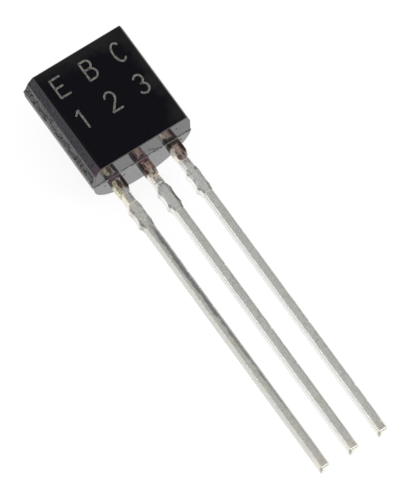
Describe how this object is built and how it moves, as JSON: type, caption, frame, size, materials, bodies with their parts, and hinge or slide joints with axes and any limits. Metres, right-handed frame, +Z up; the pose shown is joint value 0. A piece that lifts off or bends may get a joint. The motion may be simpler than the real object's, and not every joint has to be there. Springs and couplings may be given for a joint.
{
  "type": "transistor",
  "caption": "Small-signal transistor: a black moulded D-shaped body with a flat face and straight tinned leads, lying on its rounded back.",
  "frame": {"origin": "centre of the bounding box, on the surface the part lies on", "axes": "+Z up, square to the surface the part rests on; leads run towards -Y with their tips on the surface; X runs across the three leads, emitter at -X"},
  "size_m": [0.0044, 0.0186, 0.0041],
  "materials": {
    "epoxy": "smooth moulded, slightly glossy at a low angle",
    "tinned_lead": "tin plated, satin, tarnished at the root",
    "silicon": "polished",
    "attach": "silver-filled",
    "gold_wire": "bright"
  },
  "bodies": {
    "root": {"body": "epoxy", "emitter_lead": "tinned_lead", "base_lead": "tinned_lead", "collector_lead": "tinned_lead", "die": "silicon", "die_attach": "attach", "emitter_wire": "gold_wire", "base_wire": "gold_wire"}
  },
  "joints": []
}
